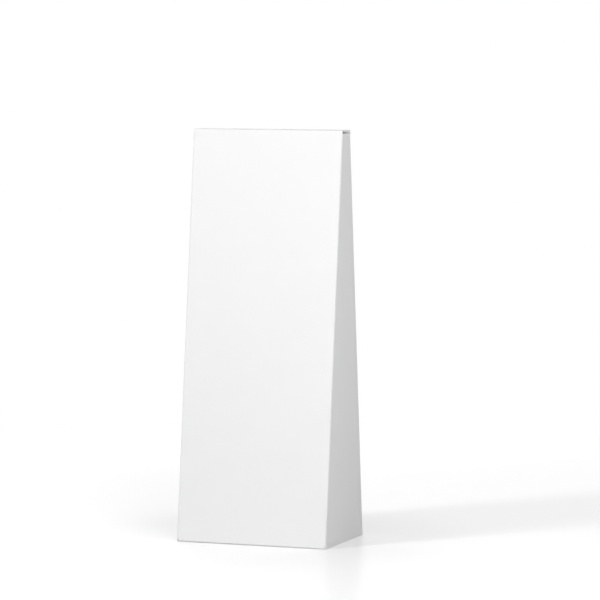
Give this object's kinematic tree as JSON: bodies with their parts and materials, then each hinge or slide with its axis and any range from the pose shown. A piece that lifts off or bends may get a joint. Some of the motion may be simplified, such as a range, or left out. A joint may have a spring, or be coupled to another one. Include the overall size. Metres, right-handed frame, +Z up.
{
  "type": "cardboard display stand",
  "caption": "Tall white wedge-shaped display stand folded from one sheet of corrugated board, with a tucked lid and base, to stand on the floor and show plain panels.",
  "frame": {"origin": "on the floor at the middle of the base", "axes": "+Z up, +Y to the back, the wide panels facing -Y and +Y, +X to the right seen from the front"},
  "size_m": [0.55, 0.3949, 1.43],
  "materials": {
    "white_board": "coated white paper liner on both faces"
  },
  "bodies": {
    "root": {"folded_sheet": "white_board"}
  },
  "joints": []
}
